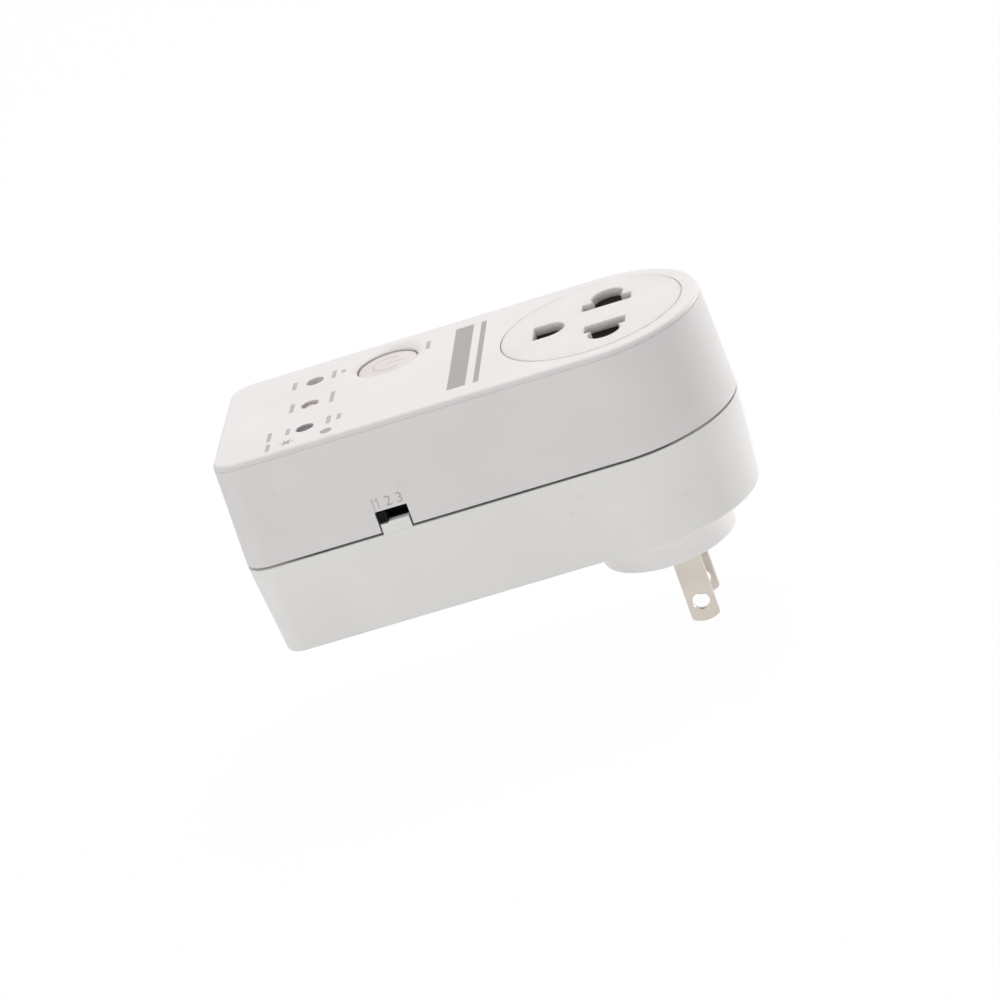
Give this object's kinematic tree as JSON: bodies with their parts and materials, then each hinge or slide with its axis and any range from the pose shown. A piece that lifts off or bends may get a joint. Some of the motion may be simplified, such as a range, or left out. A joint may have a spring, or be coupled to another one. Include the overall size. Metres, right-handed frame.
{
  "type": "plug-in voltage protector",
  "caption": "Plug-in voltage protector: a white two-shell case with a flat-blade plug on its back and a universal outlet, push button and status lights on its face.",
  "frame": {"origin": "middle of the plug boss's flat face, which lies against the wall outlet", "axes": "+Z points out of the wall to the outlet face, -Z into the wall outlet along the blades, +X from the status lights towards the outlet, +Y towards the button side"},
  "size_m": [0.112, 0.0506, 0.0732],
  "materials": {
    "case_plastic": "fine moulded satin, warm white",
    "button_plastic": "smooth satin, warm white",
    "black_plastic": "moulded satin black",
    "plated_blade": "nickel plated, soft satin",
    "brass": "stamped brass strip",
    "steel": "zinc plated",
    "laminate": "green board laminate",
    "insulation": "brown pressed board",
    "relay_case": "blue moulded case",
    "film_case": "yellow potted case",
    "epoxy": "blue dipped epoxy",
    "can_sleeve": "shrunk sleeve over an aluminium can",
    "fuse_body": "moulded brown",
    "resistor_coat": "tan lacquer",
    "lens": "clear epoxy",
    "red_wire": "red PVC",
    "black_wire": "black PVC",
    "white_wire": "white PVC",
    "print": "grey pad print on the face, the side and the button"
  },
  "bodies": {
    "case": {"front_cover": "case_plastic", "back_cover": "case_plastic", "outlet_insert": "case_plastic", "plug_base": "case_plastic", "contact_carrier": "black_plastic", "neutral_blade": "plated_blade", "line_blade": "plated_blade", "neutral_contact": "brass", "line_contact": "brass", "earth_contact": "brass", "blade_retainer": "insulation", "delay_switch_body": "black_plastic", "tact_switch_body": "black_plastic", "main_board": "laminate", "relay": "relay_case", "film_capacitor": "film_case", "controller_chip": "black_plastic", "bridge_rectifier": "black_plastic", "voltage_regulator": "black_plastic", "relay_driver": "black_plastic", "storage_capacitor": "can_sleeve", "filter_capacitor": "can_sleeve", "fuse": "fuse_body", "varistor": "epoxy", "dropper_resistor": "resistor_coat", "bleeder_resistor": "resistor_coat", "line_wire": "black_wire", "load_wire": "red_wire", "neutral_wire": "white_wire", "neutral_feed_wire": "white_wire", "status_led_1": "lens", "led_spacer_1": "black_plastic", "status_led_2": "lens", "led_spacer_2": "black_plastic", "status_led_3": "lens", "led_spacer_3": "black_plastic", "case_screw_1": "steel", "board_screw_1": "steel", "case_screw_2": "steel", "board_screw_2": "steel", "case_screw_3": "steel", "board_screw_3": "steel", "case_screw_4": "steel", "board_screw_4": "steel", "retainer_screw_1": "steel", "retainer_screw_2": "steel"},
    "power_button": {"power_button": "button_plastic"},
    "tact_plunger": {"tact_switch_plunger": "black_plastic"},
    "delay_slider": {"delay_switch_knob": "black_plastic"}
  },
  "joints": [
    {"name": "button_press", "type": "slide", "parent": "case", "child": "power_button", "axis": [0, 0, -1], "range_m": [0, 0.0006], "stiffness_N_per_m": 900, "springref_m": -0.0008},
    {"name": "plunger_press", "type": "slide", "parent": "case", "child": "tact_plunger", "axis": [0, 0, -1], "range_m": [0, 0.0006]},
    {"name": "delay_select", "type": "slide", "parent": "case", "child": "delay_slider", "axis": [1, 0, 0], "range_m": [0, 0.0048]}
  ],
  "couplings": [
    {"joint": "plunger_press", "follows": "button_press", "ratio": 1}
  ]
}
